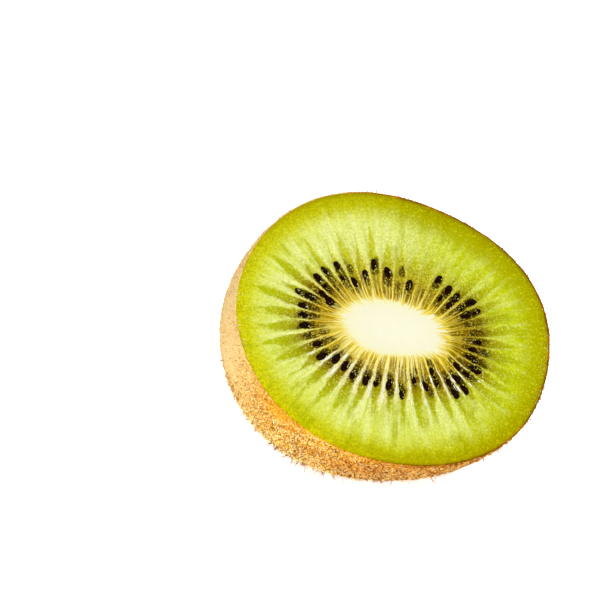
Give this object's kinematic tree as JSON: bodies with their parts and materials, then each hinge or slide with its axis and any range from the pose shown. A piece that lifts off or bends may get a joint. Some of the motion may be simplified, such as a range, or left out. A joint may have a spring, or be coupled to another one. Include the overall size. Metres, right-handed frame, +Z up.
{
  "type": "kiwi fruit half",
  "caption": "Half of a kiwi fruit cut across its middle, lying on its fuzzy brown skin with the green cut face up and to the front.",
  "frame": {"origin": "middle of the bounding box's underside, on the surface the half lies on", "axes": "+Z up; the cut face looks to -Y and up, leaning 51.8 degrees from flat; X runs along the fruit's wide side"},
  "size_m": [0.0556, 0.047, 0.0479],
  "materials": {
    "kiwi_flesh": "moist cut fruit flesh: cream core, yellow-green rim, olive locules with fine sparkle",
    "kiwi_skin": "thin matt tan-brown fruit skin with fine speckle",
    "kiwi_seed": "small glossy brown-black seeds",
    "kiwi_fuzz": "short soft hairs, straw to dark brown",
    "kiwi_juice": "wet pale grains of juice in the cut flesh"
  },
  "bodies": {
    "root": {"kiwi_half": "kiwi_flesh"}
  },
  "joints": []
}
